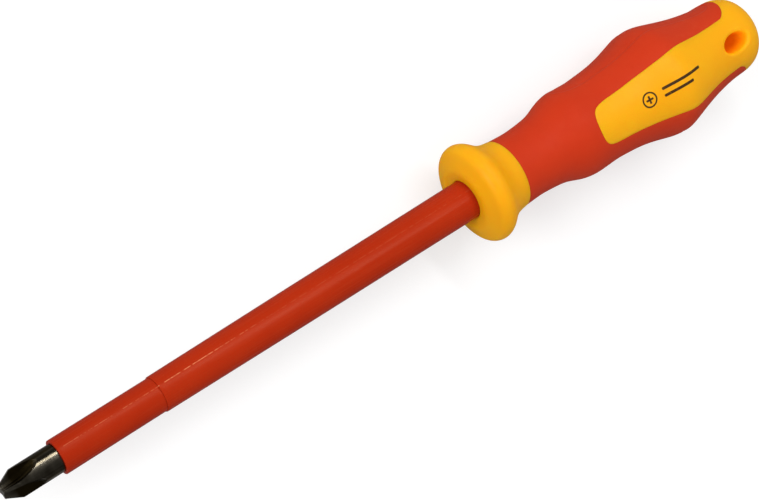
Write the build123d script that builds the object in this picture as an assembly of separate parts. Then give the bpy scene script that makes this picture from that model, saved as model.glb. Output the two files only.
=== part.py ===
from build123d import *
import math
import os

# Insulated cross-head screwdriver, 8 mm blade, size 3 cross point, 150 mm from
# point to guard.  Millimetres.  Origin: centre of the flat end of the point.
# +X runs along the blade towards the handle, so "front" is the point's end.
# The handle's two colour windows face +Z and -Z, its two grip lobes +Y and -Y.

# ---------------------------------------------------------- shared dimensions
BLADE_R = 4.0            # 8 mm round bar
UNDER_R = 4.70           # inner sleeve, where the outer sleeve covers it
STEP_X = 46.6            # front edge of the outer sleeve
OUTER_R1 = 5.71          # outer sleeve from the guard back
GUARD_X = 149.8          # where the guard meets the outer sleeve
SLEEVE_END = 162.0       # both sleeves end inside the handle
NECK_X = 164.3           # front edge of the soft grip
NECK_R = 10.25
HANDLE_END = 256.2       # rear end of the handle
CLEAR_R = 20.0           # radius safely outside the handle

# Outlines of the handle as (x, radius).
# Guard: rounded disc from the sleeve out to its crest and back to the shoulder
SHOULDER = (159.4, 11.5)
SHOULDER_TANGENT = (0.9, -0.5)
GUARD_PTS = [(GUARD_X, OUTER_R1), (149.45, 8.6), (150.35, 11.2), (151.7, 13.8),
             (153.85, 14.65), (155.9, 14.05), (157.6, 12.75), SHOULDER]
# Grip behind the neck: waist, finger roll, palm swell, rounded end
NECK_TANGENT = (1.0, -0.13)
GRIP_PTS = [(NECK_X, NECK_R), (167.0, 10.05), (170.0, 9.93), (175.0, 10.2),
            (180.0, 10.95), (185.0, 12.62), (190.0, 13.28), (195.0, 13.17),
            (200.0, 13.39), (205.0, 13.82), (210.0, 14.69), (215.0, 15.97),
            (220.0, 16.84), (225.0, 15.88), (230.0, 14.43), (235.0, 13.18),
            (240.0, 12.27), (245.0, 11.72), (249.0, 11.42), (252.3, 10.2),
            (254.7, 7.55), (255.9, 4.0), (HANDLE_END, 0.0)]


# -------------------------------------------------------------------- helpers
def turned(edges):
    """Solid of revolution about X from edges in the XY plane (y = radius)."""
    return revolve(make_face(Wire(edges)), Axis.X, 360)


def turned_polygon(*points):
    """Solid of revolution about X from the corners (x, radius) of a polygon."""
    return turned([Line(a, b) for a, b in zip(points, points[1:] + points[:1])])


def tube(x0, x1, r_out, r_in):
    align = (Align.CENTER, Align.CENTER, Align.MIN)
    body = Cylinder(r_out, x1 - x0, align=align)
    body -= Cylinder(r_in, x1 - x0, align=align)
    return Pos(x0, 0, 0) * Rot(0, 90, 0) * body


def through_sides(face):
    """Prism right through the handle along Y, from a face drawn as (x, z)."""
    return Rot(90, 0, 0) * extrude(face, 30, both=True)


def under_surface(depth):
    """Solid of revolution lying a fixed radial depth under the grip outline."""
    last_x = 252.5       # beyond this the outline turns in too steeply to offset
    pts = [(x, r - depth) for x, r in GRIP_PTS if x <= last_x]
    front, rear = (pts[0][0], 0), (pts[-1][0], 0)
    return turned([Line(front, pts[0]), Spline(pts), Line(pts[-1], rear),
                   Line(rear, front)])


# ------------------------------------------------------ handle outer envelope
def make_envelope():
    guard = Spline(GUARD_PTS, tangents=[(0.0, 1.0), SHOULDER_TANGENT])
    neck = Spline(SHOULDER, (161.6, 10.68), (NECK_X, NECK_R),
                  tangents=[SHOULDER_TANGENT, NECK_TANGENT])
    grip = Spline(GRIP_PTS, tangents=[NECK_TANGENT, (0.0, -1.0)])
    return turned([Line((GUARD_X, 0), GUARD_PTS[0]), guard, neck, grip,
                   Line((HANDLE_END, 0), (GUARD_X, 0))])


# ------------------------------------------------------------------ soft grip
GRIP_T = 2.2             # thickness of the soft grip
ZONE_END = 249.5         # rear end of its zone, behind the lobes
ZONE_R_IN = 5.0
WINDOW_Z = 3.0           # a window's cutter starts this far from the axis
WINDOW_H = 22.0          # and is this high
WINDOW_REAR_X = 262.0    # the cutter runs out past the handle's rear end
LOBE_CUT_X = 264.0       # rear and half width of the cutter behind the lobes
LOBE_CUT_Z = 24.0
PANEL_DEPTH = 0.25       # depth of the thumb panels

# half outline of a colour window, seen along Z: (x, half width)
WINDOW_PTS = [(189.85, 0.0), (190.0, 2.2), (190.45, 3.9), (191.45, 5.25),
              (193.4, 6.0), (199.0, 6.5), (205.0, 7.05), (211.0, 7.8),
              (217.0, 8.72), (221.0, 9.2), (225.0, 8.98), (229.0, 8.45),
              (234.0, 7.93), (240.0, 7.7), (246.0, 7.7)]
# half of the rear outline of a grip lobe, seen along Y: (x, z)
LOBE_PTS = [(240.85, 9.5), (242.75, 9.2), (244.55, 8.5), (246.05, 7.4),
            (247.25, 5.6), (248.05, 3.0), (248.3, 0.0)]
# half outline of the shallow thumb panel on each side of the grip: (x, z)
PANEL_PTS = [(187.6, 0.0), (188.0, 2.4), (189.4, 4.2), (192.0, 5.1),
             (200.0, 5.45), (208.0, 5.9), (215.0, 6.5), (220.0, 6.75),
             (226.0, 6.2), (233.0, 5.4), (239.0, 5.0), (242.8, 4.3),
             (245.2, 2.6), (246.0, 0.0)]


def window_face():
    x, y = WINDOW_PTS[-1]
    edge = Spline(WINDOW_PTS[::-1] + [(px, -py) for px, py in WINDOW_PTS[1:]],
                  tangents=[(-1, 0), (1, 0)])
    return make_face(Wire([
        edge, Line((x, -y), (WINDOW_REAR_X, -y)),
        Line((WINDOW_REAR_X, -y), (WINDOW_REAR_X, y)),
        Line((WINDOW_REAR_X, y), (x, y))]))


def lobe_end_face():
    """Everything behind the rear outline of the lobes."""
    x, z = LOBE_PTS[0]
    edge = Spline(LOBE_PTS + [(px, -pz) for px, pz in LOBE_PTS[-2::-1]],
                  tangents=[(1, -0.08), (-1, -0.08)])
    return make_face(Wire([
        edge, Line((x, -z), (x, -LOBE_CUT_Z)),
        Line((x, -LOBE_CUT_Z), (LOBE_CUT_X, -LOBE_CUT_Z)),
        Line((LOBE_CUT_X, -LOBE_CUT_Z), (LOBE_CUT_X, LOBE_CUT_Z)),
        Line((LOBE_CUT_X, LOBE_CUT_Z), (x, LOBE_CUT_Z)),
        Line((x, LOBE_CUT_Z), (x, z))]))


def make_grip_zone():
    """Space filled by the soft grip, unbounded by the handle's surface."""
    zone = tube(NECK_X, ZONE_END, CLEAR_R, ZONE_R_IN) - under_surface(GRIP_T)
    # colour windows: the hard body comes up to the surface on +Z and -Z
    window = window_face()
    for z in (WINDOW_Z, -WINDOW_Z - WINDOW_H):
        zone -= Pos(0, 0, z) * extrude(window, WINDOW_H)
    zone -= through_sides(lobe_end_face())
    # ring under the front of the grip that locks it to the hard body
    return zone.fuse(tube(176.0, 179.0, 11.5, 7.6))


def cut_thumb_panels(grip):
    """Sink a shallow panel into the +Y and -Y sides of the grip."""
    edge = Spline(*(PANEL_PTS + [(x, -z) for x, z in PANEL_PTS[-2:0:-1]]),
                  periodic=True)
    face = make_face(Wire([edge]))
    skin = tube(186.0, 248.0, CLEAR_R, 6.0) - under_surface(PANEL_DEPTH)
    return grip - (through_sides(face) & skin)


# ---------------------------------------------------------------------- blade
POINT_R = 1.905          # flat end of a size 3 cross point
POINT_HALF_ANGLE = 26.5  # cone flanks
WING_T = 0.82            # thickness of a wing at the flat end
ROOT_D = 1.10            # flute root, distance from the axis at the flat end
FLUTE_ANGLE = 92.0       # angle between the two wing faces in one flute
ROOT_ANGLE = 146.0       # angle of the flute's shallow bottom
FLUTE_SLOPE = 5.75       # flute bottom rises towards the bar
WING_FLARE = 0.70        # how far the wing faces open per mm of rise
FLUTE_STRAIGHT = 4.0     # length of the straight part of the flute
FLUTE_END = 10.9         # where the flute has run out of the bar
RUN_OUT_POWER = 1.6      # how the flute bottom curves up in the run-out
FLUTE_FAR = 12.0         # outer edge of the flute cutter, from the axis
SECTION_X0 = -1.2        # first section of the flute cutter
SECTION_STEP = 1.1
SECTION_COUNT = 13
POINT_ROLL = 4.0         # roll of the wings about the blade, from +Z towards +Y

TANG_END = 228.0         # rear end of the steel bar inside the handle
TANG_CHAMFER = 1.2
EARS = ((190.0, 200.0), (208.0, 218.0))  # x range of each pair's straight edges
EAR_HALF_W = 5.6         # half width of the pressed ears
EAR_T = 3.2              # thickness of the ears
EAR_RUN = 2.4            # length of an ear's sloping ends
FLAT_Z = 3.1             # height of the flats on the bar between the ears
FLAT_INSET = 2.0         # flats are this much shorter than the ears
FLAT_W = 9.0             # width and height of the cutter for a flat
FLAT_H = 2.0


def run_out(x):
    """How far the whole flute has been lifted out of the bar at x."""
    if x <= FLUTE_STRAIGHT:
        return 0.0
    slope = math.tan(math.radians(FLUTE_SLOPE))
    full_lift = BLADE_R - ROOT_D - slope * FLUTE_END
    part = (x - FLUTE_STRAIGHT) / (FLUTE_END - FLUTE_STRAIGHT)
    return full_lift * part ** RUN_OUT_POWER


def flute_section(x):
    slope = math.tan(math.radians(FLUTE_SLOPE))
    wing_cot = 1 / math.tan(math.radians(FLUTE_ANGLE / 2))
    root_cot = 1 / math.tan(math.radians(ROOT_ANGLE / 2))
    root = ROOT_D + slope * x + run_out(x)
    # where the two wing faces would meet
    apex = WING_T / 2 * math.sqrt(2) + WING_FLARE * slope * x + run_out(x)
    # half width and distance out where the bottom meets a wing face
    half_w = (root - apex) / (wing_cot - root_cot)
    out = root + half_w * root_cot
    far_half_w = (FLUTE_FAR - apex) / wing_cot
    pts = [(root, 0), (out, half_w), (FLUTE_FAR, far_half_w),
           (FLUTE_FAR, -far_half_w), (out, -half_w)]
    # local x of this plane is the outward direction, local y is across it
    plane = Plane(origin=(x, 0, 0), x_dir=(0, 0, 1), z_dir=(1, 0, 0))
    return plane * make_face(Polyline(*pts, close=True))


def make_blade():
    cone_len = (BLADE_R - POINT_R) / math.tan(math.radians(POINT_HALF_ANGLE))
    body = turned_polygon(
        (0, 0), (0, POINT_R), (cone_len, BLADE_R), (TANG_END - TANG_CHAMFER, BLADE_R),
        (TANG_END, BLADE_R - TANG_CHAMFER), (TANG_END, 0))

    # four flutes leave the four wings of the cross
    flute = loft([flute_section(SECTION_X0 + SECTION_STEP * i)
                  for i in range(SECTION_COUNT)])
    for i in range(4):
        body -= Rot(-(POINT_ROLL + 45.0 + 90.0 * i), 0, 0) * flute

    # pressed ears that stop the bar from turning in the handle
    for x0, x1 in EARS:
        ear = make_face(Polyline(
            (x0 - EAR_RUN, 0), (x0, EAR_HALF_W), (x1, EAR_HALF_W),
            (x1 + EAR_RUN, 0), (x1, -EAR_HALF_W), (x0, -EAR_HALF_W), close=True))
        body += Pos(0, 0, -EAR_T / 2) * extrude(ear, EAR_T)
        for z, z_align in ((FLAT_Z, Align.MIN), (-FLAT_Z, Align.MAX)):
            flat = Box(x1 - x0 - FLAT_INSET, FLAT_W, FLAT_H,
                       align=(Align.CENTER, Align.CENTER, z_align))
            body -= Pos((x0 + x1) / 2, 0, z) * flat
    return body


# ----------------------------------------------------------- blade insulation
INNER_X0 = 16.2          # front edge of the inner sleeve
INNER_R = 4.88           # slim front stretch of the inner sleeve
INNER_CHAMFER = 0.12
OUTER_R0 = 5.14          # outer sleeve, front
OUTER_MID = (92.0, 5.45) # (x, radius) where the outer sleeve's taper eases
OUTER_CHAMFER = 0.08
KEY_RINGS_X = (153.0, 157.6)  # front faces of the two key rings
KEY_RING_L = 1.8
KEY_RING_RISE = 0.9      # rings stand this far out of the sleeve
KEY_RING_SINK = 0.4      # and reach this far into it


def make_inner_sleeve():
    return turned_polygon(
        (INNER_X0, BLADE_R), (INNER_X0, INNER_R - INNER_CHAMFER),
        (INNER_X0 + INNER_CHAMFER, INNER_R), (STEP_X, INNER_R), (STEP_X, UNDER_R),
        (SLEEVE_END, UNDER_R), (SLEEVE_END, BLADE_R))


def make_outer_sleeve():
    sleeve = turned_polygon(
        (STEP_X, UNDER_R), (STEP_X, OUTER_R0 - OUTER_CHAMFER),
        (STEP_X + OUTER_CHAMFER, OUTER_R0), OUTER_MID, (GUARD_X, OUTER_R1),
        (SLEEVE_END, OUTER_R1), (SLEEVE_END, UNDER_R))
    # two rings that key the insulation into the guard
    for x0 in KEY_RINGS_X:
        sleeve += tube(x0, x0 + KEY_RING_L, OUTER_R1 + KEY_RING_RISE,
                       OUTER_R1 - KEY_RING_SINK)
    return sleeve


# ----------------------------------------------------------------- inner core
# outline of the core as (x, radius): straight neck, swell, rounded tail
CORE_FRONT = (SLEEVE_END, 6.4)
CORE_SWELL = [(178, 6.6), (183, 7.5), (188, 8.9), (196, 9.4), (205, 9.7),
              (213, 10.8), (219, 11.4), (225, 10.6), (230, 8.8)]
CORE_TAIL = [CORE_SWELL[-1], (232.8, 6.6), (234.0, 3.0)]
TAIL_TANGENT = (1, -0.5)
GROOVES_X = (193.0, 204.0)  # front faces of the ring grooves
GROOVE_L = 2.4
GROOVE_R_OUT = 14.0
GROOVE_R = 8.5           # bottom of the grooves
KEYWAY_X = 207           # middle of the keyways
KEYWAY_SIZE = (38, 2.4, 3.0)  # length, width, height of the cutter
KEYWAY_R = 8.3           # bottom of the keyways


def make_core():
    front, rear = (SLEEVE_END, 0), (CORE_TAIL[-1][0], 0)
    body = turned([
        Line(front, CORE_FRONT), Line(CORE_FRONT, CORE_SWELL[0]),
        Spline(CORE_SWELL, tangents=[(1, 0.03), TAIL_TANGENT]),
        Spline(CORE_TAIL, tangents=[TAIL_TANGENT, (0, -1)]),
        Line(CORE_TAIL[-1], rear), Line(rear, front)])
    # ring grooves hold the body lengthwise, keyways stop it turning
    for x0 in GROOVES_X:
        body -= tube(x0, x0 + GROOVE_L, GROOVE_R_OUT, GROOVE_R)
    for i in range(4):
        key = Box(*KEYWAY_SIZE, align=(Align.CENTER, Align.CENTER, Align.MIN))
        body -= Rot(45 + 90 * i, 0, 0) * Pos(KEYWAY_X, 0, KEYWAY_R) * key
    return body


# --------------------------------------------------------------- hanging slot
HOLE_X = 243.5           # oval hanging slot through Z, centre
HOLE_L = 9.2             # slot length along the handle
HOLE_W = 5.2             # slot width
HOLE_EDGE = 1.2          # rounded mouth of the slot


def cut_slot(body):
    oval = Pos(HOLE_X, 0) * Ellipse(HOLE_L / 2, HOLE_W / 2)
    slotted = body - extrude(oval, 40, both=True)
    # mouth edges lie within the oval, near the surface; the slot's long seam
    # along Z is left out by its height
    mouths = [e for e in slotted.edges()
              if abs(e.center().X - HOLE_X) < HOLE_L / 2 + 0.4
              and abs(e.center().Y) < HOLE_W / 2 + 0.1
              and abs(e.center().Z) > 9.0 and e.bounding_box().size.Z < 4.0]
    return fillet(mouths, HOLE_EDGE)


# ------------------------------------------------------------------- assembly
envelope = make_envelope()
grip_zone = make_grip_zone()
soft_grip = cut_thumb_panels(envelope & grip_zone)
hard_part = envelope - grip_zone

blade = make_blade()
inner_sleeve = make_inner_sleeve()
outer_sleeve = make_outer_sleeve()
core = make_core()

nodes = {
    "blade": blade,
    "inner_insulation_sleeve": inner_sleeve,
    "outer_insulation_sleeve": outer_sleeve,
    "handle_core": core - blade,
    "handle_body": cut_slot(hard_part) - core - outer_sleeve - inner_sleeve - blade,
    "soft_grip": soft_grip,
}

os.makedirs("parts", exist_ok=True)
for name, shape in nodes.items():
    # each piece is its largest solid; loose slivers are left out
    piece = max(shape.solids(), key=lambda s: s.volume)
    piece.label = name
    export_step(piece, os.path.join("parts", name + ".step"))
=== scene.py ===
"""Insulated tool: a blade in a two-step insulating sleeve, and a handle of hard yellow plastic
with a soft red grip.

It lies along X with the point towards the origin and the handle at the +X end. The handle's
windows face +Z and -Z, and the lobes of the soft grip lie on the +Y and -Y sides.
Shapes are in millimetres and become metres when a mesh is made; lights are in metres.
"""
import math

import bpy
import numpy as np
from mathutils import Matrix, Vector


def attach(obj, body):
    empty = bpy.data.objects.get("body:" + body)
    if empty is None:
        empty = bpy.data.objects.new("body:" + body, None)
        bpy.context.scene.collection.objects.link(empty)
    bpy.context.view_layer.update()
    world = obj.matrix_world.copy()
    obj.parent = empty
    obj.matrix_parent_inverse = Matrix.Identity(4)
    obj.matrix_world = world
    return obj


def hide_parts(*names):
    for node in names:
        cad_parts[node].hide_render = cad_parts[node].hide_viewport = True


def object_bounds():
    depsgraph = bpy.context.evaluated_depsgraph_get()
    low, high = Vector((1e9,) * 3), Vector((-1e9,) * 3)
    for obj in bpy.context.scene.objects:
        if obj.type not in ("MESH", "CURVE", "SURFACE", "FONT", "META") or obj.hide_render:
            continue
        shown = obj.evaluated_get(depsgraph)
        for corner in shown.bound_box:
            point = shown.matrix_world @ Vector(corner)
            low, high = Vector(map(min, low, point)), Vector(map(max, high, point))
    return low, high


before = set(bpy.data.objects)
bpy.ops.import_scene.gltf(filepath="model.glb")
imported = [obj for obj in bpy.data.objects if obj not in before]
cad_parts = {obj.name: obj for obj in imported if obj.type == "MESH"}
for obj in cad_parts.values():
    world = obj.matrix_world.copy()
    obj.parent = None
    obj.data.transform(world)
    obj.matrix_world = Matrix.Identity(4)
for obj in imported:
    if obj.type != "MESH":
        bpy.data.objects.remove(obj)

CAD_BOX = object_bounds()
MM = 0.001

# ------------------------------------------------------------------ dimensions
BLADE_R = 4.0
BORE_GAP = 0.01                    # clearance inside each sleeve
INNER_START, INNER_R = 16.2, 4.88  # inner sleeve, up to the step
INNER_ROUND = 0.12
STEP_X, UNDER_R = 46.6, 4.70       # where the outer sleeve starts, and the radius below it
OUTER_R0, OUTER_R1 = 5.14, 5.71    # outer sleeve at the step and at the guard
OUTER_MID = (92.0, 5.45)
OUTER_ROUND = 0.16
GUARD_X, SLEEVE_END = 149.8, 162.0
SLEEVE_COLUMNS = 112

HANDLE_BORE_R = OUTER_R1 + 0.02
NECK_START, NECK_END = (159.4, 11.5), (164.3, 10.25)
GRIP_START_X = NECK_END[0]
GRIP_THICKNESS = 2.2
HANDLE_END = 256.2
HANDLE_COLUMNS = 176

RING_DEPTH = 0.6                   # extra depth of a ring in the floor under the grip
RING_RISE, RING_FALL = (175.8, 176.3), (178.7, 179.2)

SLOT_X, SLOT_LENGTH, SLOT_WIDTH = 243.5, 9.2, 5.2   # hanging slot through the handle along Z
SLOT_EDGE = 1.2                    # radius of its rounded mouth
SLOT_ROWS = 16

PANEL_DEPTH, PANEL_REACH = 0.25, 0.35
SEAM_REACH = 0.45                  # width of the rounding on each side of the seam
SEAM_GRIP_DROP, SEAM_GRIP_STEP, SEAM_BODY_DROP, SEAM_LINE_DROP = 0.11, 0.02, 0.07, 0.12

# distances from each outline at which the handle's polygons are cut
SEAM_LEVELS = (0.0, 0.1, 0.25, SEAM_REACH, -0.1, -0.25, -SEAM_REACH)
PANEL_LEVELS = (-PANEL_REACH, -0.12, 0.12, PANEL_REACH)
SLOT_LEVELS = (0.0, 0.04, 0.14, 0.3, 0.5, 0.75, 1.0, 1.3)

# Handle profiles: x, radius
GUARD_PTS = [(GUARD_X, OUTER_R1), (149.45, 8.6), (150.35, 11.2), (151.7, 13.8),
             (153.85, 14.65), (155.9, 14.05), (157.6, 12.75), NECK_START]
NECK_PTS = [NECK_START, (161.6, 10.68), NECK_END]
GRIP_PTS = [NECK_END, (167.0, 10.05), (170.0, 9.93), (175.0, 10.2),
            (180.0, 10.95), (185.0, 12.62), (190.0, 13.28), (195.0, 13.17),
            (200.0, 13.39), (205.0, 13.82), (210.0, 14.69), (215.0, 15.97),
            (220.0, 16.84), (225.0, 15.88), (230.0, 14.43), (235.0, 13.18),
            (240.0, 12.27), (245.0, 11.72), (249.0, 11.42), (252.3, 10.2),
            (254.7, 7.55), (255.9, 4.0), (HANDLE_END, 0.0)]
# Cavity for the core: x, radius
CAVITY_END = 234.0
CORE_PTS = [(178, 6.6), (183, 7.5), (188, 8.9), (196, 9.4), (205, 9.7), (213, 10.8),
            (219, 11.4), (225, 10.6), (230, 8.8)]
CORE_END_PTS = [CORE_PTS[-1], (232.8, 6.6), (CAVITY_END, 3.0)]
# Half outline of the windows, seen along Z: x, y
WINDOW_PTS = [(189.85, 0.0), (190.0, 2.2), (190.45, 3.9), (191.45, 5.25),
              (193.4, 6.0), (199.0, 6.5), (205.0, 7.05), (211.0, 7.8),
              (217.0, 8.72), (221.0, 9.2), (225.0, 8.98), (229.0, 8.45),
              (234.0, 7.93), (240.0, 7.7), (246.0, 7.7)]
# Half outlines of the grip lobes' rear ends and of the thumb panels, seen along Y: x, z
LOBE_PTS = [(240.85, 9.5), (242.75, 9.2), (244.55, 8.5), (246.05, 7.4),
            (247.25, 5.6), (248.05, 3.0), (248.3, 0.0)]
PANEL_PTS = [(187.6, 0.0), (188.0, 2.4), (189.4, 4.2), (192.0, 5.1),
             (200.0, 5.45), (208.0, 5.9), (215.0, 6.5), (220.0, 6.75),
             (226.0, 6.2), (233.0, 5.4), (239.0, 5.0), (242.8, 4.3),
             (245.2, 2.6), (246.0, 0.0)]
BEYOND_X, BEYOND_Z = 275, 30       # clear of the handle, for closing open outlines
OUTSIDE = 9.0                      # distance given to points where a field doesn't apply


# -------------------------------------------------------------------- numerics
def sample(points, step, start, end):
    """Evenly spaced points on a chord-length cubic spline with given end directions."""
    points = np.array(points, float)
    chord = np.hypot(*np.diff(points, axis=0).T)
    count = len(points)
    matrix, target = np.zeros((count, count)), np.zeros((count, 2))
    for i in range(1, count - 1):
        before, after = chord[i - 1], chord[i]
        matrix[i, i - 1:i + 2] = after, 2 * (before + after), before
        target[i] = 3 * (after * (points[i] - points[i - 1]) / before
                         + before * (points[i + 1] - points[i]) / after)
    for row, direction in ((0, start), (count - 1, end)):
        matrix[row, row] = 1
        target[row] = np.array(direction, float) / np.hypot(*direction)
    slope = np.linalg.solve(matrix, target)

    knots = np.r_[0, np.cumsum(chord)]
    s = np.linspace(0, knots[-1], max(2, int(round(knots[-1] / step)) + 1))
    i = np.clip(np.searchsorted(knots, s, side="right") - 1, 0, count - 2)
    span = (knots[i + 1] - knots[i])[:, None]
    u = (s - knots[i])[:, None] / span
    return ((2 * u**3 - 3 * u**2 + 1) * points[i] + (u**3 - 2 * u**2 + u) * span * slope[i]
            + (-2 * u**3 + 3 * u**2) * points[i + 1] + (u**3 - u**2) * span * slope[i + 1])


def smooth_profile(points, centre, reach, times):
    """Rounds a profile within reach of a point; its ends stay."""
    distance = np.hypot(points[:, 0] - centre[0], points[:, 1] - centre[1])
    weight = np.clip(1 - distance / reach, 0, 1)[:, None]
    weight[0] = weight[-1] = 0
    for _ in range(times):
        even = points.copy()
        even[1:-1] = (points[:-2] + 2 * points[1:-1] + points[2:]) / 4
        points = points * (1 - weight) + even * weight
    return points


def smoothstep(start, end, x):
    t = np.clip((x - start) / (end - start), 0, 1)
    return t * t * (3 - 2 * t)


def signed_distance(x, y, outline, reach=4.0, batch=20000):
    """Distance to a closed outline, positive inside; -OUTSIDE beyond reach of its box."""
    out = np.full(len(x), -OUTSIDE)
    low, high = outline.min(0) - reach, outline.max(0) + reach
    near = np.nonzero((x > low[0]) & (x < high[0]) & (y > low[1]) & (y < high[1]))[0]
    ends = np.roll(outline, -1, axis=0)
    ax, ay = outline[None, :, 0], outline[None, :, 1]
    dx, dy = (ends - outline)[None, :, 0], (ends - outline)[None, :, 1]
    by = ends[None, :, 1]
    for first in range(0, len(near), batch):
        ids = near[first:first + batch]
        px, py = x[ids][:, None], y[ids][:, None]
        t = np.clip(((px - ax) * dx + (py - ay) * dy) / (dx * dx + dy * dy + 1e-12), 0, 1)
        distance = np.sqrt(((px - ax - t * dx) ** 2 + (py - ay - t * dy) ** 2).min(1))
        crossed = ((ay > py) != (by > py)) & (px < dx * (py - ay) / (dy + 1e-15) + ax)
        out[ids] = np.where(crossed.sum(1) % 2 == 1, distance, -distance)
    return out


def arc(centre_x, centre_r, radius, start, end, count):
    """Points on a circle in the profile plane; angles in degrees from +X."""
    return [(centre_x + radius * math.cos(t), centre_r + radius * math.sin(t))
            for t in np.radians(np.linspace(start, end, count))]


# -------------------------------------------------------------- turned surface
def edge_key(u, v):
    return (u, v) if u < v else (v, u)


def directed_edges(poly):
    return zip(poly, poly[1:] + poly[:1])


def split_poly(poly, sign, crossings):
    """Splits a polygon by the sign of its vertices, adding the new vertices in crossings."""
    touches = sum(sign[poly[k - 1]] * sign[v] < 0 for k, v in enumerate(poly))
    touches += sum(sign[v] == 0 for v in poly)
    parts = [poly]
    if touches > 2 and len(poly) > 3:
        fan = [[poly[0], poly[k], poly[k + 1]] for k in range(1, len(poly) - 1)]
        # a fan only works when no diagonal needs a vertex of its own
        if all(edge_key(u, v) in crossings or sign[u] * sign[v] >= 0
               for triangle in fan for u, v in directed_edges(triangle)):
            parts = fan
    pieces = []
    for part in parts:
        for side in (1, -1):
            if not any(sign[v] == side for v in part):
                continue
            piece = []
            for u, v in directed_edges(part):
                if sign[u] * side >= 0:
                    piece.append(u)
                if sign[u] * sign[v] < 0:
                    piece.append(crossings[edge_key(u, v)])
            if len(piece) > 2:
                pieces.append(piece)
    return pieces


class Turned:
    """Polygons on a surface turned about X. A vertex is (s, a): arc length along the profile
    and angle from +Z towards +Y. Polygons can be cut along level lines of a field."""

    def __init__(self, profile, columns):
        self.profile = profile
        self.knots = np.r_[0, np.cumsum(np.hypot(*np.diff(profile, axis=0).T))]
        s, a, pole, rows = [], [], [], []
        for knot, radius in zip(self.knots, profile[:, 1]):
            on_axis = radius < 1e-6
            count = 1 if on_axis else columns
            rows.append([len(s) + (0 if on_axis else j) for j in range(columns)])
            s += [knot] * count
            a += [2 * math.pi * j / columns for j in range(count)]
            pole += [on_axis] * count
        self.s, self.a, self.pole = np.array(s), np.array(a), np.array(pole, bool)
        self.polys = []
        for near, far in zip(rows, rows[1:]):
            for j in range(columns):
                k = (j + 1) % columns
                quad = [near[j], far[j], far[k], near[k]]
                self.polys.append([v for n, v in enumerate(quad) if v != quad[n - 1]])

    def x_and_radius(self, s):
        return (np.interp(s, self.knots, self.profile[:, 0]),
                np.interp(s, self.knots, self.profile[:, 1]))

    def points(self, s, a):
        x, radius = self.x_and_radius(s)
        return np.stack([x, radius * np.sin(a), radius * np.cos(a)], 1)

    def cut(self, field, level, snap=0.012):
        """Splits polygons where field equals level; vertices within snap of it are used as is."""
        value = field(self.s, self.a) - level
        value[np.abs(value) < snap] = 0.0
        sign = np.sign(value).astype(int).tolist()
        mixed, crossings = set(), {}
        for n, poly in enumerate(self.polys):
            if {-1, 1} <= {sign[v] for v in poly}:
                mixed.add(n)
                for k, v in enumerate(poly):
                    if sign[poly[k - 1]] * sign[v] < 0:
                        crossings[edge_key(poly[k - 1], v)] = None
        if not crossings:
            return
        first_new = len(self.s)
        self.add_crossings(np.array(list(crossings)), field, level, value)
        crossings = {key: first_new + i for i, key in enumerate(crossings)}
        pieces = [piece for n in sorted(mixed)
                  for piece in split_poly(self.polys[n], sign, crossings)]
        self.polys = [poly for n, poly in enumerate(self.polys) if n not in mixed] + pieces

    def add_crossings(self, edges, field, level, value):
        """Finds the level on each edge by bisection and adds a vertex there."""
        start, end = edges.T
        s0, s1 = self.s[start], self.s[end]
        a0, a1 = self.a[start], self.a[end]
        # a pole has no angle of its own, so it takes the other end's
        start_pole, end_pole = self.pole[start], self.pole[end]
        a0[start_pole] = a1[start_pole]
        a1[end_pole] = a0[end_pole]
        a1 = a1 - 2 * math.pi * np.round((a1 - a0) / (2 * math.pi))
        low, high = np.zeros(len(edges)), np.ones(len(edges))
        for _ in range(14):
            half = (low + high) / 2
            here = field(s0 + (s1 - s0) * half, a0 + (a1 - a0) * half) - level
            before = here * value[start] <= 0
            high = np.where(before, half, high)
            low = np.where(before, low, half)
        t = (low + high) / 2
        self.s = np.r_[self.s, s0 + (s1 - s0) * t]
        self.a = np.r_[self.a, a0 + (a1 - a0) * t]
        self.pole = np.r_[self.pole, np.zeros(len(edges), bool)]


def make_object(name, verts, polys, sharp=()):
    """Smooth-shaded mesh object from millimetre vertices; drops unused vertices."""
    used = np.zeros(len(verts), bool)
    for poly in polys:
        used[poly] = True
    index = np.cumsum(used) - 1
    mesh = bpy.data.meshes.new(name)
    mesh.from_pydata((np.asarray(verts)[used] * MM).tolist(), [],
                     [[int(index[v]) for v in poly] for poly in polys])
    mesh.validate()
    mesh.polygons.foreach_set("use_smooth", [True] * len(mesh.polygons))
    if len(sharp):
        marks = {edge_key(index[u], index[v]) for u, v in sharp}
        flags = [tuple(sorted(edge.vertices)) in marks for edge in mesh.edges]
        attribute = (mesh.attributes.get("sharp_edge")
                     or mesh.attributes.new("sharp_edge", "BOOLEAN", "EDGE"))
        attribute.data.foreach_set("value", flags)
    mesh.update()
    return link_object(name, mesh)


def link_object(name, data):
    obj = bpy.data.objects.new(name, data)
    bpy.context.scene.collection.objects.link(obj)
    return obj


# --------------------------------------------------------------- handle fields
def mirrored(half):
    """The other half of an outline, running back to the start."""
    return (half * [1, -1])[::-1]


def window_outline():
    half = sample(WINDOW_PTS, step=0.35, start=(0, 1), end=(1, 0))
    edge_y = half[-1, 1]
    return np.vstack([half, [[BEYOND_X, edge_y], [BEYOND_X, -edge_y]], mirrored(half)[:-1]])


def rear_outline():
    """Everything behind the rounded ends of the grip lobes."""
    half = sample(LOBE_PTS, step=0.3, start=(1, -0.08), end=(0, -1))
    lobe_x = LOBE_PTS[0][0]
    return np.vstack([half, mirrored(half)[1:],
                      [[lobe_x, -BEYOND_Z], [BEYOND_X, -BEYOND_Z],
                       [BEYOND_X, BEYOND_Z], [lobe_x, BEYOND_Z]]])


def panel_outline():
    half = sample(PANEL_PTS, step=0.35, start=(0, 1), end=(0, -1))
    return np.vstack([half, mirrored(half)[1:-1]])


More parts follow.
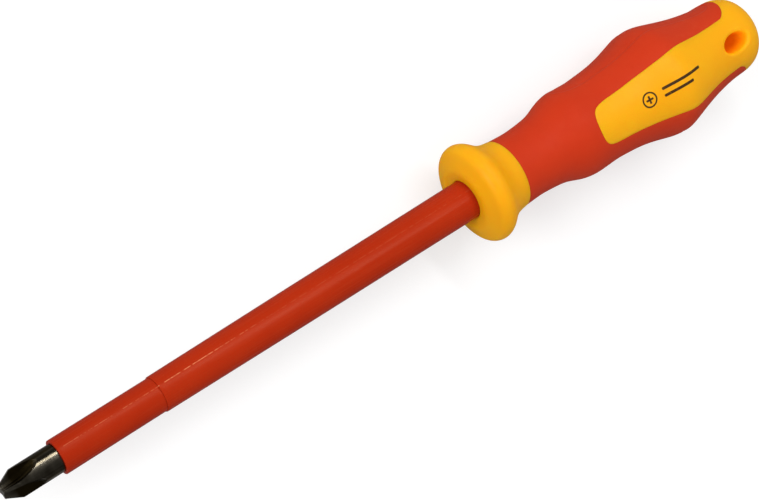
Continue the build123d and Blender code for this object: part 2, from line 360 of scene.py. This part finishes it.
WINDOW, REAR, PANEL = window_outline(), rear_outline(), panel_outline()


def handle_profile():
    """Cavity, bore, guard, neck and grip in one line from axis to axis.
    Also returns the index where the visible skin starts."""
    core = sample(CORE_PTS, step=1.2, start=(1, 0.03), end=(1, -0.5))
    core_end = sample(CORE_END_PTS, step=0.8, start=(1, -0.5), end=(0, -1))
    cavity = np.vstack([[(CAVITY_END, 0.0), (CAVITY_END, 1.6)], core_end[::-1][:-1], core[::-1],
                        [(172.0, 6.5), (166.0, 6.44), (SLEEVE_END, 6.4),
                         (SLEEVE_END, HANDLE_BORE_R)]])
    bore = [(x, HANDLE_BORE_R) for x in (159.0, 156.0, 153.0, 151.0)]
    bore.append((150.3, HANDLE_BORE_R + 0.01))
    lip = arc(150.13, OUTER_R1 + 0.35, radius=0.32, start=270, end=182, count=7)[1:]
    guard = sample(GUARD_PTS, step=0.3, start=(0, 1), end=(0.9, -0.5))
    guard = guard[guard[:, 1] > OUTER_R1 + 0.55]    # the lip takes the place of the first part
    neck = sample(NECK_PTS, step=0.3, start=(0.9, -0.5), end=(1, -0.13))
    grip = sample(GRIP_PTS, step=0.42, start=(1, -0.13), end=(0, -1))
    outer = smooth_profile(np.vstack([guard, neck[1:]]), NECK_START, reach=1.6, times=8)
    profile = np.vstack([cavity, bore, lip, outer, grip[1:]])
    profile[-1] = (HANDLE_END, 0.0)
    return profile, len(cavity) + len(bore) + len(lip)


profile, first_outer = handle_profile()
handle = Turned(profile, HANDLE_COLUMNS)
SKIN_START = handle.knots[first_outer]


def seam_field(s, a):
    """Positive on the soft grip, negative on the hard body; about the distance."""
    x, y, z = handle.points(s, a).T
    distance = np.minimum(x - GRIP_START_X, -signed_distance(x, np.abs(y), WINDOW))
    distance = np.minimum(distance, -signed_distance(x, z, REAR))
    return np.where(s < SKIN_START, -OUTSIDE, distance)


def panel_field(s, a):
    """Distance inside the thumb panels on the +Y and -Y sides."""
    x, _, z = handle.points(s, a).T
    on_side = np.abs(np.sin(a)) > 0.6
    return np.where((s < SKIN_START) | ~on_side, -OUTSIDE, signed_distance(x, z, PANEL))


def slot_field(s, a):
    """Distance outside the elliptical hanging slot, seen along Z."""
    x, y, _ = handle.points(s, a).T
    half_length, half_width = SLOT_LENGTH / 2, SLOT_WIDTH / 2
    u, v = (x - SLOT_X) / half_length, y / half_width
    ratio = np.hypot(u, v)
    gradient = np.hypot(u / half_length, v / half_width)
    distance = np.where(ratio > 0.05, ratio * (ratio - 1) / np.maximum(gradient, 1e-6),
                        -half_width)
    distance = np.where(np.abs(np.cos(a)) < 0.5, OUTSIDE, distance)
    return np.where(s < SKIN_START, OUTSIDE, distance)


for level in SEAM_LEVELS:
    handle.cut(seam_field, level)
for level in PANEL_LEVELS:
    handle.cut(panel_field, level)
for level in SLOT_LEVELS:
    handle.cut(slot_field, level, snap=0.006)

seam_distance = seam_field(handle.s, handle.a)
seam_distance[np.abs(seam_distance) < 0.02] = 0.0
slot_distance = slot_field(handle.s, handle.a)
handle_x, handle_r = handle.x_and_radius(handle.s)


# --------------------------------------------------------------- handle pieces
def at_radius(radius, lift=0.0):
    return np.stack([handle_x, radius * np.sin(handle.a), radius * np.cos(handle.a) + lift], 1)


def skin_points():
    """Visible skin, with the seam rounded, the panels sunk and the slot's mouth rounded."""
    near_grip = np.clip(1 - seam_distance / SEAM_REACH, 0, 1) ** 2
    near_body = np.clip(1 + seam_distance / SEAM_REACH, 0, 1) ** 2
    body_drop = np.where(seam_distance < 0, SEAM_BODY_DROP * near_body, SEAM_LINE_DROP)
    seam_drop = np.where(seam_distance > 0, SEAM_GRIP_DROP * near_grip + SEAM_GRIP_STEP, body_drop)
    panel_distance = panel_field(handle.s, handle.a)
    panel_drop = PANEL_DEPTH * smoothstep(-PANEL_REACH, PANEL_REACH, panel_distance)
    radius = (handle_r - np.where(handle.s < SKIN_START, 0, seam_drop)
              - np.where(seam_distance > 0, panel_drop, 0))
    inset = SLOT_EDGE - np.clip(slot_distance, 0, SLOT_EDGE)
    mouth = SLOT_EDGE - np.sqrt(np.maximum(SLOT_EDGE**2 - inset**2, 0))
    lift = np.where(slot_distance < SLOT_EDGE, -np.sign(np.cos(handle.a)) * mouth, 0.0)
    return at_radius(radius, lift)


def floor_points():
    """Underside of the grip, which is also the floor of the pockets in the body."""
    ring = RING_DEPTH * smoothstep(*RING_RISE, handle_x) * (1 - smoothstep(*RING_FALL, handle_x))
    return at_radius(np.maximum(handle_r - GRIP_THICKNESS - ring, 0.5))


def border(polys, others):
    """Directed edges of polys that have one of the others on their far side."""
    theirs = {edge for poly in others for edge in directed_edges(poly)}
    return [(u, v) for poly in polys for u, v in directed_edges(poly) if (v, u) in theirs]


skin, pocket_floor = skin_points(), floor_points()
skin_count = len(skin)
layers = np.vstack([skin, pocket_floor])

grip_polys, body_polys, slot_polys = [], [], []
for poly in handle.polys:
    if slot_distance[poly].mean() < 0:
        slot_polys.append(poly)        # open mouth of the slot
    elif seam_distance[poly].sum() > 0:
        grip_polys.append(poly)
    else:
        body_polys.append(poly)


def seam_wall(edges):
    """Faces from the skin down to the pocket floor along a seam, and their sharp edges."""
    below = [(u + skin_count, v + skin_count) for u, v in edges]
    faces = [[v, u, lower_u, lower_v] for (u, v), (lower_u, lower_v) in zip(edges, below)]
    return faces, edges + below


def build_grip():
    walls, sharp = seam_wall(border(grip_polys, body_polys))
    underside = [[v + skin_count for v in reversed(poly)] for poly in grip_polys]
    return make_object("soft_grip_skin", layers, grip_polys + underside + walls, sharp)


def slot_wall():
    """Extra vertices and faces that join the slot's rim on +Z to its rim on -Z."""
    rim = border(body_polys, slot_polys)
    upper = [edge for edge in rim if skin[edge[0], 2] > 0]
    lower_ids = sorted({v for edge in rim if skin[edge[0], 2] < 0 for v in edge})
    lower_xy = skin[lower_ids][:, :2]
    points, chains = [], {}
    for v in sorted({v for edge in upper for v in edge}):
        mate = lower_ids[int(np.argmin(((lower_xy - skin[v, :2]) ** 2).sum(1)))]
        chain = [v]
        for row in range(1, SLOT_ROWS):
            t = row / SLOT_ROWS
            chain.append(len(layers) + len(points))
            points.append(skin[v] * (1 - t) + skin[mate] * t)
        chains[v] = chain + [mate]
    faces = [[chains[v][row], chains[u][row], chains[u][row + 1], chains[v][row + 1]]
             for u, v in upper for row in range(SLOT_ROWS)]
    return np.array(points), faces


def build_body():
    walls, sharp = seam_wall(border(body_polys, grip_polys))
    pockets = [[v + skin_count for v in poly] for poly in grip_polys]
    slot_points, slot_faces = slot_wall()
    return make_object("handle_body_skin", np.vstack([layers, slot_points]),
                       body_polys + pockets + walls + slot_faces, sharp)


soft_grip = build_grip()
handle_body = build_body()


# ------------------------------------------------------------------ insulation
def turned_ring(name, loop):
    """Turned solid from a closed profile loop that stays clear of the axis."""
    ring = Turned(np.array(loop + loop[:1], float), SLEEVE_COLUMNS)
    points = ring.points(ring.s, ring.a)
    last = len(points) - SLEEVE_COLUMNS    # the last ring is welded onto the first
    polys = [[v - last if v >= last else v for v in poly] for poly in ring.polys]
    return make_object(name, points, polys)


def build_inner_sleeve():
    bore = BLADE_R + BORE_GAP
    centre_x = INNER_START + INNER_ROUND
    loop = [(x, bore) for x in (SLEEVE_END, 120, 80, 40, INNER_START + 0.25)]
    loop += arc(centre_x, bore + INNER_ROUND, INNER_ROUND, start=270, end=180, count=5)
    loop += arc(centre_x, INNER_R - INNER_ROUND, INNER_ROUND, start=180, end=90, count=6)
    loop += [(x, INNER_R) for x in np.arange(17.5, STEP_X - 0.2, 1.5)]
    loop += [(STEP_X - 0.05, INNER_R), (STEP_X, INNER_R - 0.02), (STEP_X, UNDER_R)]
    loop += [(x, UNDER_R) for x in np.arange(50, SLEEVE_END, 10)] + [(SLEEVE_END, UNDER_R)]
    return turned_ring("inner_insulation_skin", loop)


def build_outer_sleeve():
    loop = [(x, UNDER_R + BORE_GAP) for x in (SLEEVE_END, 120, 80, STEP_X + 0.02)]
    loop += arc(STEP_X + OUTER_ROUND, OUTER_R0 - OUTER_ROUND, OUTER_ROUND,
                start=180, end=90, count=6)
    taper_x, taper_r = zip((STEP_X, OUTER_R0), OUTER_MID, (GUARD_X, OUTER_R1))
    loop += [(x, float(np.interp(x, taper_x, taper_r)))
             for x in np.arange(STEP_X + 1.2, GUARD_X, 1.6)]
    loop += [(GUARD_X, OUTER_R1), (152.9, OUTER_R1), (153.0, OUTER_R1 + 0.01),
             (157.0, OUTER_R1 + 0.01), (SLEEVE_END, OUTER_R1)]
    return turned_ring("outer_insulation_skin", loop)


inner_sleeve = build_inner_sleeve()
outer_sleeve = build_outer_sleeve()


# ---------------------------------------------------------------- shader nodes
class Shader:
    """Adds nodes to a tree. Inputs take a number, a tuple (colours without alpha) or a socket."""

    def __init__(self, tree):
        self.tree = tree

    def set(self, node, values):
        for key, value in values.items():
            self.feed(node.inputs[key], value)

    def feed(self, socket, value):
        if isinstance(value, bpy.types.NodeSocket):
            self.tree.links.new(value, socket)
        elif socket.type == "RGBA":
            socket.default_value = (*value, 1)
        else:
            socket.default_value = value

    def add(self, kind, values={}):
        node = self.tree.nodes.new(kind)
        self.set(node, values)
        return node

    def object_coords(self):
        return self.add("ShaderNodeTexCoord").outputs["Object"]

    def coords(self, scale=(1, 1, 1)):
        values = {"Vector": self.object_coords(), "Scale": scale}
        return self.add("ShaderNodeMapping", values).outputs[0]

    def separate(self, vector):
        return self.add("ShaderNodeSeparateXYZ", {0: vector}).outputs

    def noise(self, vector, scale, detail, roughness):
        return self.add("ShaderNodeTexNoise", {
            "Scale": scale, "Detail": detail, "Roughness": roughness,
            "Vector": vector}).outputs["Fac"]

    def remap(self, value, over, to=(0, 1)):
        """Maps the range over onto the range to, clamped."""
        return self.add("ShaderNodeMapRange", {
            "From Min": over[0], "From Max": over[1],
            "To Min": to[0], "To Max": to[1], "Value": value}).outputs[0]

    def math(self, operation, *values):
        node = self.add("ShaderNodeMath", dict(enumerate(values)))
        node.operation = operation
        return node.outputs[0]

    def length(self, x, y):
        squares = self.math("MULTIPLY", x, x), self.math("MULTIPLY", y, y)
        return self.math("SQRT", self.math("ADD", *squares))

    def mix(self, factor, a, b):
        node = self.add("ShaderNodeMix")
        node.data_type = "RGBA"
        self.feed(node.inputs["Factor"], factor)
        for key, value in (("A", a), ("B", b)):
            self.feed([i for i in node.inputs if i.name == key and i.type == "RGBA"][0], value)
        return [o for o in node.outputs if o.type == "RGBA"][0]

    def bump(self, height, strength, distance, normal=None):
        node = self.add("ShaderNodeBump", {
            "Strength": strength, "Distance": distance, "Height": height})
        if normal is not None:
            self.feed(node.inputs["Normal"], normal)
        return node.outputs[0]


def new_material(name):
    material = bpy.data.materials.new(name)
    material.use_nodes = True
    material.node_tree.nodes.clear()
    sh = Shader(material.node_tree)
    output = sh.add("ShaderNodeOutputMaterial")
    bsdf = sh.add("ShaderNodeBsdfPrincipled")
    sh.feed(output.inputs[0], bsdf.outputs[0])
    return material, sh, bsdf


# ------------------------------------------------------------------- materials
def box_distance(sh, x, y, centre, half_size, corner):
    """Signed distance to a rounded box, negative inside."""
    x = sh.math("SUBTRACT", x, centre[0])
    y = sh.math("SUBTRACT", y, centre[1])
    over_x = sh.math("SUBTRACT", sh.math("ABSOLUTE", x), half_size[0] - corner)
    over_y = sh.math("SUBTRACT", sh.math("ABSOLUTE", y), half_size[1] - corner)
    outside = sh.length(sh.math("MAXIMUM", over_x, 0.0), sh.math("MAXIMUM", over_y, 0.0))
    inside = sh.math("MINIMUM", sh.math("MAXIMUM", over_x, over_y), 0.0)
    return sh.math("SUBTRACT", sh.math("ADD", outside, inside), corner)


def printed_mark(sh, vector):
    """Ink on the +Z window: a ring with a cross in it, then two bars. Sizes in mm."""
    mark_x, ring_radius, ring_half_width, edge_blur = 207.6, 2.05, 0.24, 0.035
    boxes = (   # centre, half size, corner radius
        ((mark_x, 0.0), (1.15, 0.30), 0.10),
        ((mark_x, 0.0), (0.30, 1.15), 0.10),
        ((219.0, 1.05), (7.0, 0.42), 0.42),
        ((217.0, -1.05), (5.0, 0.42), 0.42))
    place = sh.separate(sh.object_coords())
    x = sh.math("MULTIPLY", place["X"], 1000.0)
    y = sh.math("MULTIPLY", place["Y"], 1000.0)
    radius = sh.length(sh.math("SUBTRACT", x, mark_x), y)
    off_ring = sh.math("ABSOLUTE", sh.math("SUBTRACT", radius, ring_radius))
    distance = sh.math("SUBTRACT", off_ring, ring_half_width)
    for other in [box_distance(sh, x, y, *box) for box in boxes]:
        distance = sh.math("MINIMUM", distance, other)
    ink = sh.remap(distance, over=(edge_blur, -edge_blur))
    patches = sh.noise(vector, scale=700.0, detail=3, roughness=0.6)
    patches = sh.remap(patches, over=(0.30, 0.42), to=(0.80, 1.0))
    facing_up = sh.remap(place["Z"], over=(0.004, 0.006))
    return sh.math("MULTIPLY", sh.math("MULTIPLY", ink, patches), facing_up)


def yellow_plastic():
    material, sh, bsdf = new_material("yellow_hard_plastic")
    vector = sh.coords()
    cloud = sh.noise(vector, scale=45.0, detail=3, roughness=0.55)
    fine = sh.noise(vector, scale=2600.0, detail=2, roughness=0.6)
    medium = sh.noise(vector, scale=420.0, detail=3, roughness=0.55)
    colour = sh.mix(sh.remap(cloud, over=(0.3, 0.7)), (0.90, 0.390, 0.0030), (0.95, 0.440, 0.0045))
    # sparse darker specks of handling dirt
    speck = sh.noise(vector, scale=900.0, detail=2, roughness=0.5)
    speck = sh.remap(speck, over=(0.70, 0.80), to=(0, 0.10))
    colour = sh.mix(speck, colour, (0.45, 0.19, 0.02))

    # painted light: inside the hanging slot the colour is painted a deeper orange further in, and
    # an orange emission glow is added, standing in for light that crosses the translucent plastic
    # and bounces inside the slot
    place = sh.separate(sh.object_coords())
    along = sh.math("SUBTRACT", place["X"], SLOT_X * MM)
    along = sh.math("DIVIDE", along, SLOT_LENGTH / 2 * MM)
    across = sh.math("DIVIDE", place["Y"], SLOT_WIDTH / 2 * MM)
    slot = sh.remap(sh.length(along, across), over=(1.30, 0.98))
    depth = sh.remap(sh.math("ABSOLUTE", place["Z"]), over=(0.0112, 0.0050), to=(0.10, 1.0))
    colour = sh.mix(sh.math("MULTIPLY", slot, depth), colour, (0.84, 0.190, 0.001))
    # painted glow: orange emission inside the slot, brighter near the mouth
    glow = sh.mix(depth, (0.56, 0.24, 0.001), (0.32, 0.105, 0.0002))
    painted_slot_glow_strength = sh.math("MULTIPLY", slot, 0.42)

    ink = printed_mark(sh, vector)
    colour = sh.mix(ink, colour, (0.060, 0.028, 0.010))
    roughness = sh.remap(medium, over=(0.25, 0.75), to=(0.36, 0.50))
    roughness = sh.math("ADD", roughness, sh.math("MULTIPLY", ink, 0.12))   # ink is duller
    normal = sh.bump(fine, strength=0.16, distance=0.00008)
    normal = sh.bump(medium, strength=0.10, distance=0.00022, normal=normal)
    sh.set(bsdf, {
        "Base Color": colour, "Roughness": roughness, "Normal": normal,
        "Emission Color": glow, "Emission Strength": painted_slot_glow_strength,
        "IOR": 1.46, "Specular IOR Level": 0.15,
        "Subsurface Weight": 0.45, "Subsurface Radius": (1.0, 0.36, 0.04),
        "Subsurface Scale": 0.0034})
    return material


def soft_red():
    material, sh, bsdf = new_material("soft_red_grip")
    vector = sh.coords()
    cloud = sh.noise(vector, scale=38.0, detail=4, roughness=0.6)
    medium = sh.noise(vector, scale=380.0, detail=3, roughness=0.6)
    fine = sh.noise(vector, scale=2100.0, detail=2, roughness=0.65)
    colour = sh.mix(sh.remap(cloud, over=(0.3, 0.7)), (0.56, 0.032, 0.0050), (0.62, 0.039, 0.0065))
    # pale bloom where hands rub, in fine patches
    bloom = sh.math("MULTIPLY", sh.remap(medium, over=(0.52, 0.75)),
                    sh.remap(cloud, over=(0.45, 0.7)))
    colour = sh.mix(sh.math("MULTIPLY", bloom, 0.16), colour, (0.70, 0.13, 0.05))
    roughness = sh.remap(medium, over=(0.25, 0.75), to=(0.52, 0.66))
    normal = sh.bump(fine, strength=0.30, distance=0.00010)
    normal = sh.bump(medium, strength=0.16, distance=0.00025, normal=normal)
    sh.set(bsdf, {
        "Base Color": colour, "Roughness": roughness, "Normal": normal,
        "IOR": 1.47, "Specular IOR Level": 0.14,
        "Sheen Weight": 0.03, "Sheen Roughness": 0.45, "Sheen Tint": (1.0, 0.62, 0.5),
        "Subsurface Weight": 0.06, "Subsurface Radius": (1.0, 0.15, 0.05),
        "Subsurface Scale": 0.0010})
    return material


def moulding_ridge_and_painted_highlight(sh, place, rear):
    """Fine moulded ridge along the tube, broken into dashes, with a painted highlight on it;
    strongest just behind the step and fainter on the inner sleeve.
    """
    angle = sh.math("ARCTAN2", place["Y"], place["Z"])
    offset = sh.math("ABSOLUTE", sh.math("SUBTRACT", angle, math.radians(33.8)))
    line = sh.remap(offset, over=(0.030, 0.008))
    dashes = sh.noise(sh.coords(scale=(1, 0.05, 0.05)), scale=620.0, detail=2, roughness=0.6)
    line = sh.math("MULTIPLY", line, sh.remap(dashes, over=(0.42, 0.54)))
    strength = sh.remap(place["X"], over=(0.060, 0.078), to=(1.0, 0.12)) if rear else 0.35
    return sh.math("MULTIPLY", line, strength)


def sleeve_red(name, rear):
    material, sh, bsdf = new_material(name)
    scale_shift = 35.0 if rear else 0.0    # gives the two sleeves different streaks
    vector = sh.coords()
    streak = sh.noise(sh.coords(scale=(0.05, 1, 1)), scale=900.0 + scale_shift,
                      detail=3, roughness=0.55)
    wide = sh.noise(sh.coords(scale=(0.12, 1, 1)), scale=260.0 + scale_shift,
                    detail=2, roughness=0.5)
    fine = sh.noise(vector, scale=1900.0, detail=2, roughness=0.6)
    cloud = sh.noise(vector, scale=60.0, detail=3, roughness=0.55)
    colour = sh.mix(sh.remap(cloud, over=(0.3, 0.7)),
                    (0.415, 0.0235, 0.0042), (0.455, 0.0285, 0.0052))
    colour = sh.mix(sh.remap(streak, over=(0.55, 0.8), to=(0, 0.18)), colour,
                    (0.56, 0.055, 0.013))
    place = sh.separate(vector)
    line = moulding_ridge_and_painted_highlight(sh, place, rear)
    # painted shade: the stretch towards the point is darkened
    colour = sh.mix(sh.remap(place["X"], over=(0.062, 0.018), to=(0, 0.38)), colour,
                    (0.30, 0.0130, 0.0025))
    # painted highlight: the ridge line is painted pale pink
    colour = sh.mix(sh.math("MULTIPLY", line, 0.60), colour, (0.95, 0.34, 0.15))
    roughness = sh.remap(streak, over=(0.25, 0.75), to=(0.19, 0.34))
    nick = sh.noise(vector, scale=820.0, detail=2, roughness=0.6)
    normal = sh.bump(streak, strength=0.26, distance=0.00007)
    normal = sh.bump(wide, strength=0.20, distance=0.00016, normal=normal)
    normal = sh.bump(nick, strength=0.22, distance=0.00007, normal=normal)
    normal = sh.bump(fine, strength=0.14, distance=0.00005, normal=normal)
    normal = sh.bump(line, strength=0.6, distance=0.00004, normal=normal)
    sh.set(bsdf, {
        "Base Color": colour, "Roughness": roughness, "Normal": normal,
        "IOR": 1.48, "Specular IOR Level": 0.11, "Specular Tint": (1.0, 0.62, 0.40),
        "Subsurface Weight": 0.05, "Subsurface Radius": (1.0, 0.15, 0.05),
        "Subsurface Scale": 0.0008})
    return material


def blackened_steel():
    material, sh, bsdf = new_material("blackened_steel")
    vector = sh.coords()
    grind = sh.noise(sh.coords(scale=(0.06, 1, 1)), scale=1500.0, detail=3, roughness=0.6)
    cloud = sh.noise(vector, scale=220.0, detail=3, roughness=0.6)
    pits = sh.noise(vector, scale=2600.0, detail=2, roughness=0.6)
    colour = sh.mix(sh.remap(cloud, over=(0.3, 0.7)),
                    (0.036, 0.0245, 0.0074), (0.058, 0.040, 0.0125))
    # paler metal along the edges, in patches: worn blackening, and partly a painted edge highlight
    pointiness = sh.add("ShaderNodeNewGeometry").outputs["Pointiness"]
    edge = sh.math("MULTIPLY", sh.remap(pointiness, over=(0.515, 0.57)),
                   sh.remap(cloud, over=(0.35, 0.6), to=(0.35, 1.0)))
    colour = sh.mix(sh.math("MULTIPLY", edge, 0.75), colour, (0.34, 0.31, 0.25))
    roughness = sh.remap(grind, over=(0.25, 0.75), to=(0.13, 0.24))
    normal = sh.bump(grind, strength=0.25, distance=0.00004)
    normal = sh.bump(pits, strength=0.12, distance=0.00003, normal=normal)
    sh.set(bsdf, {
        "Base Color": colour, "Roughness": roughness, "Normal": normal, "Metallic": 1.0,
        "Coat Weight": 0.05, "Coat Roughness": 0.25, "Coat Tint": (1.0, 0.86, 0.55)})
    return material


def core_grey():
    material, sh, bsdf = new_material("core_plastic")
    vector = sh.coords()
    mottle = sh.noise(vector, scale=300.0, detail=3, roughness=0.6)
    colour = sh.mix(mottle, (0.05, 0.05, 0.053), (0.09, 0.09, 0.095))
    roughness = sh.remap(mottle, over=(0.3, 0.7), to=(0.45, 0.62))
    fine = sh.noise(vector, scale=1800.0, detail=2, roughness=0.6)
    normal = sh.bump(fine, strength=0.2, distance=0.00008)
    sh.set(bsdf, {"Base Color": colour, "Roughness": roughness, "Normal": normal})
    return material


def pale_floor():
    """Looks near white to the camera but lights the tool only as a grey card would."""
    material, sh, bsdf = new_material("pale_floor")
    path = sh.add("ShaderNodeLightPath").outputs
    glow = sh.math("MULTIPLY", path["Is Camera Ray"], 0.58)
    grey = sh.math("SUBTRACT", 0.48, sh.math("MULTIPLY", path["Is Glossy Ray"], 0.28))
    sh.set(bsdf, {
        "Base Color": grey, "Roughness": 0.9, "Specular IOR Level": 0.0,
        "Emission Color": (1, 1, 1), "Emission Strength": glow})
    return material


def put(obj, material):
    obj.data.materials.clear()
    obj.data.materials.append(material)


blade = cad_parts["blade"]
put(handle_body, yellow_plastic())
put(soft_grip, soft_red())
put(inner_sleeve, sleeve_red("sleeve_red_front", rear=False))
put(outer_sleeve, sleeve_red("sleeve_red_rear", rear=True))
put(blade, blackened_steel())
put(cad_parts["handle_core"], core_grey())

bevel = blade.modifiers.new("edges", "BEVEL")
bevel.width = 0.00008
bevel.segments = 2
bevel.limit_method = "ANGLE"
bevel.angle_limit = math.radians(28)
bevel.harden_normals = False

for piece, cad_node, slot in ((handle_body, "handle_body", "body_yellow"),
                              (soft_grip, "soft_grip", "grip_red"),
                              (inner_sleeve, "inner_insulation_sleeve", "insulation_red"),
                              (outer_sleeve, "outer_insulation_sleeve", "insulation_red")):
    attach(piece, "root")
    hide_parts(cad_node)


# ------------------------------------------------------------- floor and world
def build_floor(half_size=4.0):
    corners = [(-1, -1), (1, -1), (1, 1), (-1, 1)]
    mesh = bpy.data.meshes.new("floor")
    mesh.from_pydata([(x * half_size, y * half_size, CAD_BOX[0].z) for x, y in corners],
                     [], [(0, 1, 2, 3)])
    floor = link_object("floor", mesh)
    put(floor, pale_floor())


def build_world():
    """Soft even light, with dark surroundings in reflections."""
    world = bpy.data.worlds.new("studio")
    world.use_nodes = True
    sh = Shader(world.node_tree)
    glossy = sh.add("ShaderNodeLightPath").outputs["Is Glossy Ray"]
    strength = sh.math("SUBTRACT", 0.60, sh.math("MULTIPLY", glossy, 0.52))
    sh.set(world.node_tree.nodes["Background"], {0: (1, 1, 1), 1: strength})
    bpy.context.scene.world = world


build_floor()
build_world()
bpy.context.scene.view_settings.view_transform = "Standard"

# ---------------------------------------------------------------------- camera
# View frame: x along the tool, y across it towards world -Y, z towards the lens.
VIEW_TILT = math.radians(15.6)     # turn of the view frame about the tool's axis
LENS_X, LENS_DISTANCE = -115.79, 537.94
LENS_MM, SENSOR_MM = 104.35589, 36.0
YAW, PITCH, ROLL = 0.41327, -0.0016, -0.009974     # radians
FRAME_COS, FRAME_SIN = 0.840604, 0.541650          # slant of the tool in the frame


def from_view(vector):
    x, y, z = vector
    cos, sin = math.cos(VIEW_TILT), math.sin(VIEW_TILT)
    return np.array([x, -y * cos + z * sin, y * sin + z * cos])


def turn(first, second, cos, sin):
    """Turns two square directions together in their own plane."""
    return cos * first + sin * second, cos * second - sin * first


def rotation_from(*columns):
    return Matrix(columns).transposed().to_4x4()


def build_camera():
    forward = np.array([math.sin(YAW), 0, -math.cos(YAW)])
    right = np.array([math.cos(YAW), 0, math.sin(YAW)])
    down = np.array([0, 1.0, 0])
    forward, down = turn(forward, down, math.cos(PITCH), math.sin(PITCH))
    right, down = turn(right, down, math.cos(ROLL), math.sin(ROLL))
    right, down = turn(right, down, FRAME_COS, FRAME_SIN)

    data = bpy.data.cameras.new("camera")
    data.sensor_width = SENSOR_MM
    data.lens = LENS_MM
    data.clip_start, data.clip_end = 0.01, 20
    camera = link_object("camera", data)
    place = from_view((LENS_X, 0, LENS_DISTANCE)) * MM
    camera.matrix_world = Matrix.Translation(Vector(place)) @ rotation_from(
        from_view(right), -from_view(down), -from_view(forward))
    bpy.context.scene.camera = camera


# ---------------------------------------------------------------------- lights
LIGHT_TARGET = np.array([0.14, 0.0, 0.0])


def area_light(name, size, power):
    data = bpy.data.lights.new(name, "AREA")
    data.size = size
    data.energy = power
    return link_object(name, data)


def strip_light(name, start, end, width, power):
    """Long thin light between two points of the view frame, facing the target."""
    start, end = from_view(start), from_view(end)
    centre = (start + end) / 2
    look = LIGHT_TARGET - centre
    look = look / np.linalg.norm(look)
    along = (end - start) - look * np.dot(end - start, look)
    along = along / np.linalg.norm(along)
    light = area_light(name, float(np.linalg.norm(end - start)), power)
    light.data.shape = "RECTANGLE"
    light.data.size_y = width
    light.matrix_world = Matrix.Translation(Vector(centre)) @ rotation_from(
        along, np.cross(-look, along), -look)


def square_light(name, place, size, power):
    """Square light at a point of the view frame, facing the target."""
    light = area_light(name, size, power)
    light.location = from_view(place)
    light.rotation_mode = "QUATERNION"
    look = Vector(LIGHT_TARGET - from_view(place))
    light.rotation_quaternion = look.to_track_quat("-Z", "Y")


build_camera()
strip_light("key", start=(0.24, -0.72, 1.0), end=(0.60, 0.20, 1.0), width=0.10, power=4.4)
# soft light from beyond the point, for the face of the guard towards it
square_light("fill", place=(-0.85, -0.25, 0.80), size=0.50, power=6.6)
